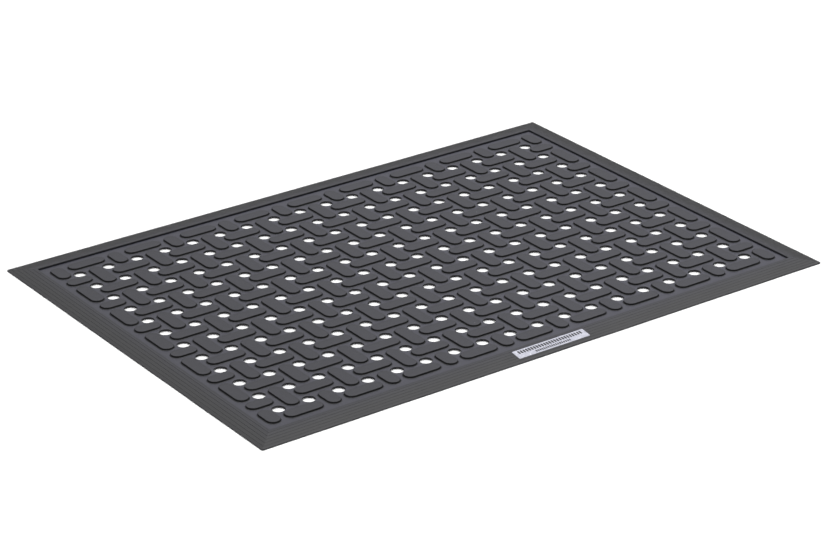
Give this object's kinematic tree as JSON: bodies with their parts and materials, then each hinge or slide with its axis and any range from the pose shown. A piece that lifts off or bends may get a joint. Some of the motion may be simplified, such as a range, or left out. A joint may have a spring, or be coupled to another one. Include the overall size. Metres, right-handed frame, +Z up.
{
  "type": "anti fatigue mat",
  "caption": "Rectangular rubber anti-fatigue floor mat with cushioned stadium-shaped pads in a basket-weave layout, round drain holes between them and sloping border strips on all sides.",
  "frame": {"origin": "centre of the mat's footprint, on the floor plane under the grip studs and borders", "axes": "+X along the long side, +Y towards the rear long side, opposite the label panel, +Z up out of the walking surface"},
  "size_m": [0.85, 0.603, 0.006],
  "materials": {
    "deck_rubber": "matt charcoal nitrile rubber, finely grained on the pads and smoother between them",
    "backing_rubber": "matt charcoal nitrile rubber",
    "cushion_foam": "closed-cell nitrile foam, sealed in the pads",
    "border_rubber": "matt charcoal nitrile rubber with fine steps along the slope",
    "label_film": "satin silver-lilac film, blank"
  },
  "bodies": {
    "root": {"wear_sheet": "deck_rubber", "backing_sheet": "backing_rubber", "lengthwise_cushions": "cushion_foam", "crosswise_cushions": "cushion_foam", "short_lengthwise_cushions": "cushion_foam", "short_crosswise_cushions": "cushion_foam", "front_border": "border_rubber", "rear_border": "border_rubber", "left_border": "border_rubber", "right_border": "border_rubber", "label_panel": "label_film"}
  },
  "joints": []
}
